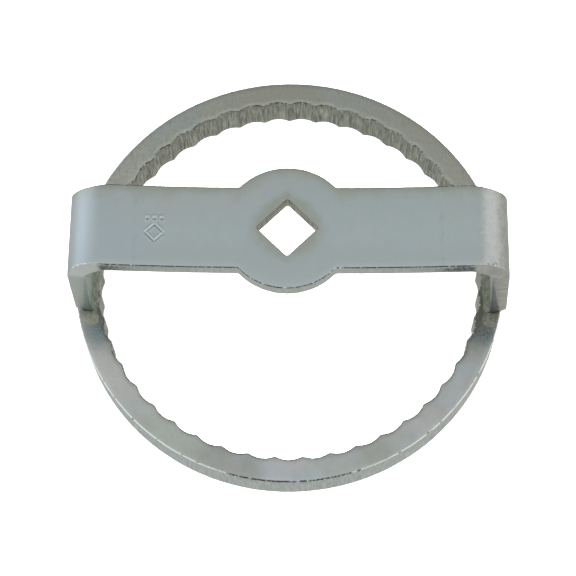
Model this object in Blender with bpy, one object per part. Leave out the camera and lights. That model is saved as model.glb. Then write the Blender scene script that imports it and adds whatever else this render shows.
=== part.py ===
"""Oil filter wrench: a fluted steel ring under a bent flat-bar bridge with a 1/2 inch square drive hole.

The ring slips over the end of a spin-on oil filter, and its 45 flutes grip the filter's shell.
The bridge stands on the ring on two legs, and each leg is welded to it inside and outside.

Frame: +Z up, along the drive axis. The ring lies flat with its lower face on Z = 0 and its centre
at the origin, and the bridge runs along X. The sizes below are in millimetres.
"""

import math

import bmesh
import bpy
from mathutils import Matrix, Vector

MM = 0.001  # Blender works in metres

# Ring, cut from 12 mm plate
RING_OUTER_R = 66.4
RING_HEIGHT = 12.0
FLUTE_COUNT = 45
FLUTE_CREST_R = 58.45
FLUTE_VALLEY_R = 59.5
FLUTE_PHASE_DEG = 2.5  # where the first crest stands, from +X
FLUTE_STEPS = 8  # facets across one flute

# Bridge, stamped from 5 mm flat bar, 1 inch wide
BAR_THICKNESS = 5.0
BAR_HALF_WIDTH = 12.7
BOSS_R = 19.0
BOSS_FILLET_R = 1.5  # where the round boss runs out into the bar
CROWN_Z = 49.3  # upper face of the boss
CROWN_HALF = 10.0  # the upper face is flat this far from the drive axis
ARM_BOW_R = 440.0  # past that, each arm rises along an arc of this radius
ARM_END_X = {"left": 52.6, "right": 53.1}  # where each arm turns down into its leg
BEND_OUTER_R = 11.0
BEND_PINCH = 0.6  # a bent bar narrows by this on the outside of the bend and widens inside it
LEG_SPLAY_DEG = {"left": 1.7, "right": 3.4}  # how far each leg opened out as the bar sprang back

# Square drive hole, for a 1/2 inch (12.7 mm) square, with its corners on the bar's axes
DRIVE_ACROSS_FLATS = 12.9
DRIVE_CORNER_R = 0.8

# Leg ends and welds
TOUCH_GAP = 0.3  # pieces that touch are kept this far apart
LEG_LAND = 1.0  # the square-cut part of a leg's end, next to its inner face
LEG_BEVEL_RISE = 3.6  # height of the weld bevel on the rest of it, at the outer face
FILLET_RISE = 4.6  # inner weld: height on the leg
FILLET_FOOT = {"left": 1.5, "right": 2.2}  # inner weld: width on the ring, beside the leg
FRONT_RISE = 1.6  # where the inner weld has turned the leg's corner: height
FRONT_FOOT = 4.0  # and width on the ring
FILLET_WRAP = 2.8  # how far it runs on past the corner
FILLET_RUN_OUT = 0.5  # share of its size that the inner weld has lost at its ends
GROOVE_HALF_LENGTH = 11.6  # outer weld, in the bevel
WELD_CROWN = 0.4  # how far a bead's face stands out
WELD_TAPER = 2.2  # length over which the outer bead runs out at each end
WELD_END_SHARE = 0.35  # share of its size that it still has at the very end

SIDES = {"left": -1.0, "right": 1.0}


def clear_scene():
    """Removes whatever the scene starts with."""
    for old in list(bpy.data.objects):
        bpy.data.objects.remove(old, do_unlink=True)


def steel(name, colour, roughness):
    """A zinc-plated steel material."""
    material = bpy.data.materials.new(name)
    material.use_nodes = True
    shader = material.node_tree.nodes["Principled BSDF"]
    shader.inputs["Base Color"].default_value = (*colour, 1.0)
    shader.inputs["Metallic"].default_value = 1.0
    shader.inputs["Roughness"].default_value = roughness
    material.diffuse_color = (*colour, 1.0)
    return material


def add_object(name, mesh_in_mm, material, smooth_deg=30.0):
    """Links a bmesh, built in millimetres, as a named object with outward normals."""
    bmesh.ops.scale(mesh_in_mm, vec=Vector((MM, MM, MM)), verts=mesh_in_mm.verts)
    bmesh.ops.recalc_face_normals(mesh_in_mm, faces=mesh_in_mm.faces)
    mesh = bpy.data.meshes.new(name)
    mesh_in_mm.to_mesh(mesh)
    mesh_in_mm.free()
    obj = bpy.data.objects.new(name, mesh)
    bpy.context.scene.collection.objects.link(obj)
    if material:
        mesh.materials.append(material)
    mesh.shade_smooth()
    mesh.set_sharp_from_angle(angle=math.radians(smooth_deg))
    return obj


def add_cutter(name, mesh_in_mm, target):
    """Adds a helper that is cut out of the target by a Boolean modifier."""
    cutter = add_object(name, mesh_in_mm, None)
    cutter.hide_render = True
    cutter.display_type = "WIRE"
    cut = target.modifiers.new(name, "BOOLEAN")
    cut.operation = "DIFFERENCE"
    cut.solver = "EXACT"
    cut.object = cutter
    return cutter


def loft(loops):
    """A closed solid through loops of equally many points, with flat ends."""
    solid = bmesh.new()
    rows = [[solid.verts.new(point) for point in loop] for loop in loops]
    count = len(rows[0])
    for row, following in zip(rows, rows[1:]):
        for i in range(count):
            j = (i + 1) % count
            solid.faces.new((row[i], row[j], following[j], following[i]))
    solid.faces.new(rows[0])
    solid.faces.new(rows[-1])
    return solid


# Ring ---------------------------------------------------------------------------------------


def flute_radius(share):
    """Inner radius at a share, from -1 to 1, of the way from a valley's middle to its crests.

    Each flute is a round hollow: a circular arc through two crests and the valley between them.
    """
    half_angle = math.pi / FLUTE_COUNT
    half_chord = FLUTE_CREST_R * math.sin(half_angle)
    sagitta = FLUTE_VALLEY_R - FLUTE_CREST_R * math.cos(half_angle)
    arc_r = (half_chord**2 + sagitta**2) / (2 * sagitta)
    centre = FLUTE_VALLEY_R - arc_r
    angle = share * half_angle
    return centre * math.cos(angle) + math.sqrt(arc_r**2 - (centre * math.sin(angle)) ** 2)


def make_ring(material):
    """The fluted ring: a flat band between the flutes and the outer circle, extruded upwards."""
    band = bmesh.new()
    inner, outer = [], []
    steps = FLUTE_COUNT * FLUTE_STEPS
    for step in range(steps):
        angle = math.radians(FLUTE_PHASE_DEG) + 2 * math.pi * step / steps
        share = 2 * (step % FLUTE_STEPS) / FLUTE_STEPS - 1
        direction = Vector((math.cos(angle), math.sin(angle), 0))
        inner.append(band.verts.new(direction * flute_radius(share)))
        outer.append(band.verts.new(direction * RING_OUTER_R))
    for i in range(steps):
        j = (i + 1) % steps
        band.faces.new((inner[i], inner[j], outer[j], outer[i]))
    upper = bmesh.ops.extrude_face_region(band, geom=list(band.faces))
    raised = [v for v in upper["geom"] if isinstance(v, bmesh.types.BMVert)]
    bmesh.ops.translate(band, vec=Vector((0, 0, RING_HEIGHT)), verts=raised)
    return add_object("fluted_ring", band, material, smooth_deg=20.0)


# Bridge -------------------------------------------------------------------------------------


def boss_fillet():
    """(centre x, centre y, x where it leaves the boss) of the fillet between the boss and the bar."""
    reach = BOSS_R + BOSS_FILLET_R
    centre_y = BAR_HALF_WIDTH + BOSS_FILLET_R
    centre_x = math.sqrt(reach**2 - centre_y**2)
    return centre_x, centre_y, centre_x * BOSS_R / reach


def bar_half_width(x):
    """Half the width of the flat blank at a distance x from the drive axis."""
    fillet_x, fillet_y, tangent_x = boss_fillet()
    if x >= fillet_x:
        return BAR_HALF_WIDTH
    if x >= tangent_x:
        return fillet_y - math.sqrt(BOSS_FILLET_R**2 - (x - fillet_x) ** 2)
    return math.sqrt(BOSS_R**2 - x**2)


def arm_rise(x):
    """How far the arm's upper face has risen above the boss at a distance x from the drive axis."""
    run = max(0.0, x - CROWN_HALF)
    return ARM_BOW_R - math.sqrt(ARM_BOW_R**2 - run**2)


def bend_frame(side):
    """(centre x, centre z, start angle) of the bend from arm to leg, seen along the bar's width."""
    end_x = ARM_END_X[side]
    start = math.pi / 2 + math.asin((end_x - CROWN_HALF) / ARM_BOW_R)
    centre_x = end_x - BEND_OUTER_R * math.cos(start)
    centre_z = CROWN_Z + arm_rise(end_x) - BEND_OUTER_R * math.sin(start)
    return centre_x, centre_z, start


def leg_outer_x(side, z):
    """Distance of a leg's outer face from the drive axis, at height z."""
    splay = math.radians(LEG_SPLAY_DEG[side])
    centre_x, centre_z, _ = bend_frame(side)
    start_x = centre_x + BEND_OUTER_R * math.cos(splay)
    start_z = centre_z + BEND_OUTER_R * math.sin(splay)
    return start_x + (start_z - z) * math.tan(splay)


def leg_inner_x(side, z):
    """Distance of a leg's inner face from the drive axis, at height z."""
    return leg_outer_x(side, z) - BAR_THICKNESS / math.cos(math.radians(LEG_SPLAY_DEG[side]))


def half_stations(side):
    """Stations from the boss to the end of one leg, each as (x, z, normal angle, half width, pinch).

    x and z lie on the outer face and x is positive; the pinch runs from 0 to 1 in the bend.
    """
    stations = []
    fillet_x, _, tangent_x = boss_fillet()
    boss_steps, fillet_steps, arm_steps, bend_steps = 10, 3, 6, 12
    boss_angle = math.asin(tangent_x / BOSS_R)
    plan = [BOSS_R * math.sin(boss_angle * i / boss_steps) for i in range(1, boss_steps + 1)]
    plan += [tangent_x + (fillet_x - tangent_x) * i / fillet_steps for i in range(1, fillet_steps + 1)]
    arm_run = ARM_END_X[side] - fillet_x
    plan += [fillet_x + arm_run * i / arm_steps for i in range(1, arm_steps + 1)]
    for x in plan:
        slope = math.asin(max(0.0, x - CROWN_HALF) / ARM_BOW_R)
        stations.append((x, CROWN_Z + arm_rise(x), math.pi / 2 + slope, bar_half_width(x), 0.0))
    centre_x, centre_z, start = bend_frame(side)
    splay = math.radians(LEG_SPLAY_DEG[side])
    for i in range(1, bend_steps + 1):
        angle = start + (splay - start) * i / bend_steps
        x = centre_x + BEND_OUTER_R * math.cos(angle)
        z = centre_z + BEND_OUTER_R * math.sin(angle)
        stations.append((x, z, angle, BAR_HALF_WIDTH, math.sin(math.pi * i / bend_steps)))
    foot_z = RING_HEIGHT - BAR_THICKNESS  # below the ring's upper face, to be trimmed
    stations.append((leg_outer_x(side, foot_z), foot_z, splay, BAR_HALF_WIDTH, 0.0))
    return stations


def cross_section(station, sign):
    """The bar's four corners at a station, on the left (-1) or right (1) half."""
    x, z, angle, half, pinch = station
    inner_x = x - BAR_THICKNESS * math.cos(angle)
    inner_z = z - BAR_THICKNESS * math.sin(angle)
    outside = half - BEND_PINCH * pinch
    inside = half + BEND_PINCH * pinch
    return [
        Vector((sign * x, -outside, z)),
        Vector((sign * x, outside, z)),
        Vector((sign * inner_x, inside, inner_z)),
        Vector((sign * inner_x, -inside, inner_z)),
    ]


def make_bridge(material):
    """The bridge: boss, two bowed arms, two bends and two legs in one bent bar."""
    middle = (0.0, CROWN_Z, math.pi / 2, BOSS_R, 0.0)
    loops = [cross_section(s, SIDES["left"]) for s in reversed(half_stations("left"))]
    loops.append(cross_section(middle, 1.0))
    loops += [cross_section(s, SIDES["right"]) for s in half_stations("right")]
    bridge = add_object("bridge", loft(loops), material)
    add_cutter("drive_hole_cutter", drive_hole_prism(), bridge)
    for side in SIDES:
        add_cutter(f"{side}_leg_trim", leg_trim_prism(side), bridge)
    return bridge


def drive_hole_prism():
    """A square prism with rounded corners, turned so that its corners point along X and Y."""
    corner_steps = 3
    corner_centre = Vector(((DRIVE_ACROSS_FLATS / 2 - DRIVE_CORNER_R) * math.sqrt(2), 0, 0))
    outline = []
    for quarter in range(4):
        for i in range(corner_steps + 1):
            angle = math.radians(90 * i / corner_steps - 45)
            offset = Vector((math.cos(angle), math.sin(angle), 0)) * DRIVE_CORNER_R
            turn = Matrix.Rotation(math.radians(90 * quarter), 3, "Z")
            outline.append(turn @ (corner_centre + offset))
    heights = (CROWN_Z - 2 * BAR_THICKNESS, CROWN_Z + BAR_THICKNESS)
    return loft([[Vector((p.x, p.y, z)) for p in outline] for z in heights])


def bevel_line(side):
    """(inner x, inner z), (outer x, outer z) of a leg's weld bevel."""
    foot = RING_HEIGHT + TOUCH_GAP
    root_x = leg_inner_x(side, foot) + LEG_LAND
    top_z = foot + LEG_BEVEL_RISE
    return (root_x, foot), (leg_outer_x(side, top_z), top_z)


def leg_trim_prism(side):
    """What is cut off a leg's end: all below the ring's upper face, and the weld bevel."""
    (root_x, foot), (top_x, top_z) = bevel_line(side)
    slope = (top_z - foot) / (top_x - root_x)
    past_x = top_x + BAR_THICKNESS
    outline = [
        (root_x - 2 * BAR_THICKNESS, foot),
        (root_x, foot),
        (past_x, foot + slope * (past_x - root_x)),
        (past_x, foot - 3 * BAR_THICKNESS),
        (root_x - 2 * BAR_THICKNESS, foot - 3 * BAR_THICKNESS),
    ]
    sign = SIDES[side]
    reach = BAR_HALF_WIDTH + BAR_THICKNESS
    return loft([[Vector((sign * x, y, z)) for x, z in outline] for y in (-reach, reach)])


# Welds --------------------------------------------------------------------------------------


def crowned_face(start, end, steps, crown):
    """Points from start to end, bowed to the left of that direction by up to the crown."""
    run = end - start
    left = Vector((-run.y, run.x)).normalized()
    shares = [i / steps for i in range(steps + 1)]
    return [start + run * share + left * crown * math.sin(math.pi * share) for share in shares]


def fillet_path():
    """Stations of the inner weld round the leg's inner face, from one end to the other.

    Each is (distance out from the leg's inner face, y, direction away from the leg, share):
    the share runs from 0 beside the leg to 1 where the bead has turned the corner.
    """
    straight_steps, corner_steps, wrap_steps = 6, 4, 3
    half = []
    for i in range(1, straight_steps + 1):
        half.append((0.0, BAR_HALF_WIDTH * i / straight_steps, 0.0, 0.0))
    for i in range(1, corner_steps + 1):
        share = i / corner_steps
        half.append((0.0, BAR_HALF_WIDTH, 90.0 * share, share))
    for i in range(1, wrap_steps + 1):
        half.append((FILLET_WRAP * i / wrap_steps, BAR_HALF_WIDTH, 90.0, 1.0))
    back = [(out, y, Vector((-cosine(a), sine(a))), share) for out, y, a, share in half]
    front = [(out, -y, Vector((-cosine(a), -sine(a))), share) for out, y, a, share in half]
    middle = [(0.0, 0.0, Vector((-1.0, 0.0)), 0.0)]
    return front[::-1] + middle + back


def sine(degrees):
    return math.sin(math.radians(degrees))


def cosine(degrees):
    return math.cos(math.radians(degrees))


def inner_weld(side, material):
    """The fillet weld between a leg's inner face and the ring, carried round the leg's corners."""
    foot_z = RING_HEIGHT + TOUCH_GAP
    inner_x = leg_inner_x(side, foot_z)
    loops = []
    for out, y, away, share in fillet_path():
        run_out = 1.0 - FILLET_RUN_OUT * (out / FILLET_WRAP) ** 2
        rise = (FILLET_RISE + (FRONT_RISE - FILLET_RISE) * share) * run_out
        foot = (FILLET_FOOT[side] + (FRONT_FOOT - FILLET_FOOT[side]) * share) * run_out
        lean = (inner_x - leg_inner_x(side, foot_z + rise)) * (1.0 - share)
        section = [Vector((TOUCH_GAP, 0.0))]
        section += crowned_face(Vector((foot, 0.0)), Vector((lean + TOUCH_GAP, rise)), 6, -WELD_CROWN)
        loop = []
        for reach, height in section:
            x = inner_x + out + away.x * reach
            loop.append(Vector((SIDES[side] * x, y + away.y * reach, foot_z + height)))
        loops.append(loop)
    return add_object(f"{side}_inner_weld", loft(loops), material)


def outer_weld(side, material):
    """The weld that fills the bevel on the outside of a leg, flush with the leg and the ring."""
    (root_x, foot_z), (top_x, top_z) = bevel_line(side)
    bevel = Vector((top_x - root_x, top_z - foot_z))
    clear = TOUCH_GAP * bevel.length / bevel.y  # the gap to the bevel, measured along the ring
    root = Vector((root_x + clear, foot_z))
    toe = Vector((leg_outer_x(side, foot_z), foot_z))
    top = Vector((top_x + TOUCH_GAP / 2, top_z)) - bevel.normalized() * TOUCH_GAP
    stations = 12
    loops = []
    for i in range(stations + 1):
        y = GROOVE_HALF_LENGTH * sine(90 * (2 * i / stations - 1))
        run = min(1.0, (GROOVE_HALF_LENGTH - abs(y)) / WELD_TAPER)
        swell = WELD_END_SHARE + (1.0 - WELD_END_SHARE) * sine(90 * run)
        face = crowned_face(root.lerp(toe, swell), root.lerp(top, swell), 5, -WELD_CROWN * swell)
        section = [root] + face
        loops.append([Vector((SIDES[side] * x, y, z)) for x, z in section])
    return add_object(f"{side}_outer_weld", loft(loops), material)


def main():
    clear_scene()
    ring_steel = steel("ring_zinc", (0.50, 0.51, 0.47), 0.42)
    bridge_steel = steel("bridge_zinc", (0.55, 0.58, 0.59), 0.35)
    weld_metal = steel("weld_zinc", (0.40, 0.40, 0.36), 0.55)
    make_ring(ring_steel)
    make_bridge(bridge_steel)
    for side in SIDES:
        inner_weld(side, weld_metal)
        outer_weld(side, weld_metal)


main()
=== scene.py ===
"""Looks of an oil filter wrench: a zinc-plated fluted ring under a stamped, bent and welded bar."""

import math

import bmesh
import bpy
import numpy as np
from mathutils import Matrix, Vector, noise


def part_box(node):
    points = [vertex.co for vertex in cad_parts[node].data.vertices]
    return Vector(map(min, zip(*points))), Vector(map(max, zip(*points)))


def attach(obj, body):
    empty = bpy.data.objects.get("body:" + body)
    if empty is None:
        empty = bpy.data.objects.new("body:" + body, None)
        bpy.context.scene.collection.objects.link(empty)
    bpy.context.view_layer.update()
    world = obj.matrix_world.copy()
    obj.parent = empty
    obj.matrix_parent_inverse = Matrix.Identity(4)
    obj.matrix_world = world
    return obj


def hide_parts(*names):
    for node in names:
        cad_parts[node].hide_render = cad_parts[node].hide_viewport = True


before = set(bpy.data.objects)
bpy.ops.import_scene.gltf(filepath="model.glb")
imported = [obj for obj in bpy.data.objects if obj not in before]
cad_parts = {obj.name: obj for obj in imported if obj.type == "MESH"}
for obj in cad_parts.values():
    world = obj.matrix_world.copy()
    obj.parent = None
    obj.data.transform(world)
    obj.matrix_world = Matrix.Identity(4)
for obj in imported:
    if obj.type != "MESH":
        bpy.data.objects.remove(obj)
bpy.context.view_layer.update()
MM = 0.001

# Sizes, in millimetres, as the CAD model has them
RING_OUTER_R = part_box("fluted_ring")[1].x / MM
RING_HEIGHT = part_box("fluted_ring")[1].z / MM
FLUTE_COUNT = 45
FLUTE_CREST_R = 58.45
FLUTE_VALLEY_R = 59.5
FLUTE_PHASE_DEG = 2.5
BAR_THICKNESS = 5.0
BAR_HALF_WIDTH = 12.7
BOSS_R = 19.0
BOSS_FILLET_R = 1.5
CROWN_Z = 49.3
CROWN_HALF = 10.0
ARM_BOW_R = 440.0
ARM_END_X = {"left": 52.6, "right": 53.1}
BEND_OUTER_R = 11.0
BEND_PINCH = 0.6
LEG_SPLAY = {"left": math.radians(1.7), "right": math.radians(3.4)}
DRIVE_ACROSS_FLATS = 12.9
DRIVE_CORNER_R = 0.8
LEG_LAND = 1.0
LEG_BEVEL_RISE = 3.9
BEVEL_TOP_Z = RING_HEIGHT + LEG_BEVEL_RISE
PUDDLE_WRAP = 4.4  # how far the inner weld runs on past the leg's corners
GROOVE_HALF_LENGTH = 11.6
BRAKE_LINE_X = {"left": 44.2, "right": 45.0}
SIDES = {"left": -1.0, "right": 1.0}


def smooth(value, low, high):
    """0 below low, 1 above high, and a smooth step between."""
    share = min(1.0, max(0.0, (value - low) / (high - low)))
    return share * share * (3.0 - 2.0 * share)


# Shader graphs ----


class Graph:
    """Adds and links the nodes of one shader tree."""

    def __init__(self, tree):
        self.tree = tree

    def node(self, kind, **settings):
        node = self.tree.nodes.new(f"ShaderNode{kind}")
        for name, value in settings.items():
            setattr(node, name, value)
        return node

    def put(self, socket, value):
        """Links a socket to a node's output, or sets it to a number, a vector or a colour."""
        if isinstance(value, bpy.types.NodeSocket):
            self.tree.links.new(value, socket)
        elif socket.type == "RGBA":
            socket.default_value = (*value, 1.0)
        else:
            socket.default_value = value

    def fill(self, node, *values):
        """Puts values into a node's first sockets, and returns its outputs."""
        for socket, value in zip(node.inputs, values):
            self.put(socket, value)
        return node.outputs

    def fill_named(self, node, values):
        for name, value in values.items():
            self.put(node.inputs[name], value)
        return node.outputs

    def math(self, operation, *values):
        return self.fill(self.node("Math", operation=operation), *values)[0]

    def add(self, first, second):
        return self.math("ADD", first, second)

    def sub(self, first, second):
        return self.math("SUBTRACT", first, second)

    def mul(self, first, second):
        return self.math("MULTIPLY", first, second)

    def abs(self, value):
        return self.math("ABSOLUTE", value)

    def length(self, x, y):
        return self.math("SQRT", self.add(self.mul(x, x), self.mul(y, y)))

    def split(self, vector):
        return tuple(self.fill(self.node("SeparateXYZ"), vector))

    def join(self, x, y, z):
        return self.fill(self.node("CombineXYZ"), x, y, z)[0]

    def vector_math(self, operation, vector, other, output="Vector"):
        return self.fill(self.node("VectorMath", operation=operation), vector, other)[output]

    def stretch(self, vector, factors):
        return self.vector_math("MULTIPLY", vector, factors)

    def shift(self, vector, offset):
        return self.vector_math("ADD", vector, offset)

    def distance(self, vector, centre):
        return self.vector_math("DISTANCE", vector, centre, "Value")

    def noise(self, vector, scale, detail=3.0, rough=0.55):
        values = {"Vector": vector, "Scale": scale, "Detail": detail, "Roughness": rough}
        return self.fill_named(self.node("TexNoise"), values)["Fac"]

    def cells(self, vector, scale):
        return self.fill_named(self.node("TexVoronoi"), {"Vector": vector, "Scale": scale})["Distance"]

    def remap(self, value, low, high, to_low=0.0, to_high=1.0):
        """A smooth step from to_low to to_high as the value goes from low to high."""
        node = self.node("MapRange", interpolation_type="SMOOTHSTEP")
        return self.fill(node, value, low, high, to_low, to_high)["Result"]

    def mix(self, share, first, second):
        """A blend of two colours: the first at a share of 0, and the second at 1."""
        node = self.node("Mix", data_type="RGBA")
        self.put(node.inputs["Factor"], share)
        self.put(node.inputs[6], first)
        self.put(node.inputs[7], second)
        return node.outputs[2]

    def over(self, colour, tint, value, low, high, share=1.0):
        """A colour that turns to the tint, up to a share, as the value goes from low to high."""
        return self.mix(self.remap(value, low, high, 0.0, share), colour, tint)

    def on_bar(self):
        """(depth below the outer face, distance across, distance along) on the bar."""
        return self.split(self.node("Attribute", attribute_name="bar").outputs["Vector"])

    def bump(self, height, distance_mm, strength):
        values = {"Height": height, "Distance": distance_mm * MM, "Strength": strength}
        return self.fill_named(self.node("Bump"), values)["Normal"]


class ZincGraph(Graph):
    """The shader tree of one zinc-plated material."""

    def __init__(self, name):
        self.material = bpy.data.materials.new(name)
        self.material.use_nodes = True
        super().__init__(self.material.node_tree)
        self.tree.nodes.clear()
        self.shader = self.node("BsdfPrincipled")
        output = self.node("OutputMaterial")
        self.put(output.inputs["Surface"], self.shader.outputs["BSDF"])
        in_metres = self.node("TexCoord").outputs["Object"]
        self.place = self.stretch(in_metres, (1 / MM, 1 / MM, 1 / MM))

    def cloud(self, scale, detail=3.0, rough=0.55):
        return self.noise(self.place, scale, detail, rough)

    def finish(self, colour, roughness, normal):
        looks = {"Base Color": colour, "Roughness": roughness, "Normal": normal, "Metallic": 1.0}
        self.fill_named(self.shader, looks)
        return self.material


# Materials --------

ZINC_DARK = (0.15, 0.165, 0.16)
TINT_BLUE = {"left": (0.235, 0.312, 0.35), "right": (0.128, 0.168, 0.225)}
TINT_BROWN = {"left": (0.32, 0.35, 0.33), "right": (0.24, 0.255, 0.21)}
BLUE_CENTRE = {"left": (-57.0, -20.5, 0.0), "right": (61.5, -20.5, 0.0)}
BLUE_REACH = {"left": 11.0, "right": 7.0}
HEAT_SPOT = (59.6, 17.5)  # how far the tint's middles are from the axes
# Dark of bruises and nicks; on the bar's edge line and just above each leg's foot it is painted shade.
BRUISE_AND_SHADE = (0.045, 0.05, 0.055)
# Painted highlight: the near-white of the glints painted on edges and welds.
PAINTED_GLINT = (0.96, 0.97, 0.96)


def passivated(g, colour, strength=1.0):
    """Adds the faint blue, pink and green clouds of a clear zinc passivation."""
    for seed, tint, share in (
        ((13.0, 5.0, 0.0), (0.5, 0.575, 0.66), 0.5),
        ((-31.0, 22.0, 7.0), (0.61, 0.585, 0.615), 0.42),
        ((47.0, -9.0, 3.0), (0.53, 0.59, 0.545), 0.4),
    ):
        cloud = g.noise(g.shift(g.place, seed), 0.045)
        colour = g.over(colour, tint, cloud, 0.5, 0.72, share * strength)
    return colour


def face_base(g):
    """(colour, roughness, height) of the bar's fine-grained satin zinc."""
    patch = g.cloud(0.35, 4.0, 0.6)
    grain = g.cloud(2.6, 3.0, 0.7)
    rolled = g.noise(g.stretch(g.place, (0.05, 1.2, 0.05)), 1.0, 3.0)
    colour = passivated(g, (0.515, 0.58, 0.612))
    colour = g.over(colour, (0.49, 0.545, 0.56), patch, 0.35, 0.7, 0.3)
    colour = g.over(colour, (0.4, 0.45, 0.465), grain, 0.25, 0.75, 0.25)
    blend = g.add(g.mul(grain, 0.6), g.mul(patch, 0.4))
    rough = g.remap(blend, 0.3, 0.7, 0.3, 0.39)
    height = g.add(g.mul(grain, 0.6), g.mul(rolled, 0.4))
    return colour, rough, height


def far_border_painted_reflection(g, colour, across):
    """The soft olive band along the bar's far border: a painted reflection of the die roll there."""
    wander = g.remap(g.cloud(0.16, 4.0, 0.65), 0.3, 0.7, -1.8, 1.8)
    reach = g.add(across, wander)
    return g.over(colour, (0.46, 0.485, 0.43), reach, BAR_HALF_WIDTH - 5.2, BAR_HALF_WIDTH, 0.75)


def bend_wear(g, colour, across, run):
    """Stretched, patchy plating on the bends, with three nicks at the right one's near edge."""
    right = g.remap(run, 54.0, 58.0)
    patch = g.noise(g.shift(g.place, (3.0, 8.0, 1.0)), 0.42, 5.0, 0.7)
    colour = g.mix(g.mul(g.remap(patch, 0.42, 0.6, 0.0, 0.7), right), colour, (0.59, 0.592, 0.57))
    pocks = g.cloud(1.1, 3.0, 0.65)
    colour = g.mix(g.mul(g.remap(pocks, 0.44, 0.58, 0.0, 0.32), right), colour, (0.47, 0.495, 0.5))
    worn = g.mul(g.remap(run, 60.5, 63.0), g.remap(patch, 0.38, 0.55, 0.9, 0.3))
    colour = g.mix(worn, colour, (0.425, 0.425, 0.4))
    wobble = g.mul(g.sub(g.cloud(2.4, 3.0, 0.75), 0.5), 3.2)
    spot = g.join(g.add(run, wobble), g.mul(g.sub(across, wobble), 0.7), 0.0)
    for nick in ((58.3, -8.7, 0.0), (59.6, -8.5, 0.0), (60.6, -8.2, 0.0)):
        colour = g.mix(g.remap(g.distance(spot, nick), 0.15, 0.42, 0.75, 0.0), colour, BRUISE_AND_SHADE)
    return colour


def hole_halo(g):
    """How strongly the plating is stained round the punched hole: 0 to 1."""
    x, y, _ = g.split(g.place)
    corners = g.add(g.abs(x), g.abs(y))
    from_axis = g.add(g.mul(corners, 0.5), g.mul(g.length(x, y), 0.62))
    wander = g.remap(g.cloud(0.35, 3.0), 0.3, 0.7, -1.0, 1.0)
    return g.remap(g.add(from_axis, wander), 9.2, 14.8, 0.8, 0.0)


def face_zinc():
    """The bar's outer face: satin zinc, stained at the hole, with a painted reflection along the far
    border, worn at the bends.
    """
    g = ZincGraph("bridge_face_zinc")
    colour, rough, height = face_base(g)
    _, across, run = g.on_bar()
    colour = far_border_painted_reflection(g, colour, across)
    colour = g.mix(g.remap(across, -12.0, -1.0, 0.6, 0.0), colour, (0.455, 0.5, 0.51))
    cloud = g.cloud(0.12, 3.0)
    from_cloud = g.add(g.distance(g.place, (-50.0, -5.0, CROWN_Z)), g.mul(cloud, 10.0))
    blue = g.mul(g.remap(from_cloud, 7.0, 19.0, 0.55, 0.0), g.remap(run, -56.0, -54.6, 0.25, 1.0))
    colour = g.mix(blue, colour, (0.465, 0.545, 0.625))
    colour = g.mix(hole_halo(g), colour, (0.4, 0.42, 0.37))
    patch = g.cloud(0.22, 3.0, 0.6)
    for side, x_sign in SIDES.items():
        from_line = g.abs(g.sub(run, x_sign * BRAKE_LINE_X[side]))
        line = g.mul(g.remap(from_line, 0.1, 1.1, 0.32, 0.0), g.remap(patch, 0.4, 0.62))
        colour = g.mix(line, colour, (0.38, 0.43, 0.45))
    colour = bend_wear(g, colour, across, run)
    speck = g.remap(g.cells(g.place, 0.42), 0.03, 0.1, 0.65, 0.0)
    spotted = g.add(g.cloud(0.15), g.remap(run, 54.0, 60.0, 0.0, 0.1))
    speck = g.mul(speck, g.remap(spotted, 0.57, 0.65))
    colour = g.mix(speck, colour, ZINC_DARK)
    in_bend = g.add(g.remap(g.abs(run), 53.0, 57.0), g.remap(run, 54.0, 57.0, 0.0, 2.0))
    peel = g.mul(g.cloud(0.9, 3.0, 0.6), g.mul(in_bend, 1.6))
    return g.finish(colour, rough, g.bump(g.add(height, peel), 0.035, 0.55))


def edge_noises(g):
    """(coarse noise, fine noise): the coarse one for bruises and the painted dark edge line, the fine
    one for bumps and painted glints.
    """
    knocks_and_dark_line = g.cloud(0.45, 5.0, 0.75)
    nicks = g.noise(g.shift(g.place, (9.0, 4.0, 2.0)), 1.3, 4.0, 0.75)
    return knocks_and_dark_line, nicks


def finish_edge(g, colour, knocks_and_dark_line, nicks, painted_glint):
    """The material of a knocked edge, with a share of painted glints."""
    colour = g.mix(painted_glint, colour, PAINTED_GLINT)
    rough = g.math("MAXIMUM", g.remap(knocks_and_dark_line, 0.3, 0.7, 0.24, 0.36), g.mul(painted_glint, 0.9))
    return g.finish(colour, rough, g.bump(nicks, 0.1, 0.8))


def bar_edge_zinc():
    """The bar's edges: bruises and a painted dark line on the arms, painted glints on the boss, and a
    painted highlight along the rough near edge of the left bend.
    """
    g = ZincGraph("bridge_edge_zinc")
    knocks_and_dark_line, nicks = edge_noises(g)
    _, across, run = g.on_bar()
    along = g.abs(run)
    near = g.remap(across, -2.0, 2.0, 1.0, 0.0)
    boss = g.remap(along, 17.0, 21.0, 1.0, 0.0)
    near_bend = g.mul(g.remap(along, 52.0, 55.0), near)
    # Bruises with painted shade: the dark line along the edges, fainter at the bends.
    bruise_and_dark_line = g.remap(g.sub(knocks_and_dark_line, g.mul(boss, 0.04)), 0.25, 0.45, 0.3, 0.95)
    bruise_and_dark_line = g.mul(bruise_and_dark_line, g.sub(1.0, g.mul(near_bend, 0.85)))
    colour = g.mix(bruise_and_dark_line, (0.56, 0.585, 0.56), BRUISE_AND_SHADE)
    # Painted highlight along the rough near edge of the left bend.
    burr_highlight = g.mul(g.mul(near, g.remap(run, -55.5, -54.0, 1.0, 0.0)), g.remap(run, -66.0, -63.0))
    colour = g.mix(g.mul(burr_highlight, g.remap(nicks, 0.4, 0.56, 0.0, 0.75)), colour, PAINTED_GLINT)
    # Painted glints, more of them on the boss.
    shine = g.add(nicks, g.mul(boss, 0.045))
    return finish_edge(g, colour, knocks_and_dark_line, nicks, g.remap(shine, 0.57, 0.62))


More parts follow.
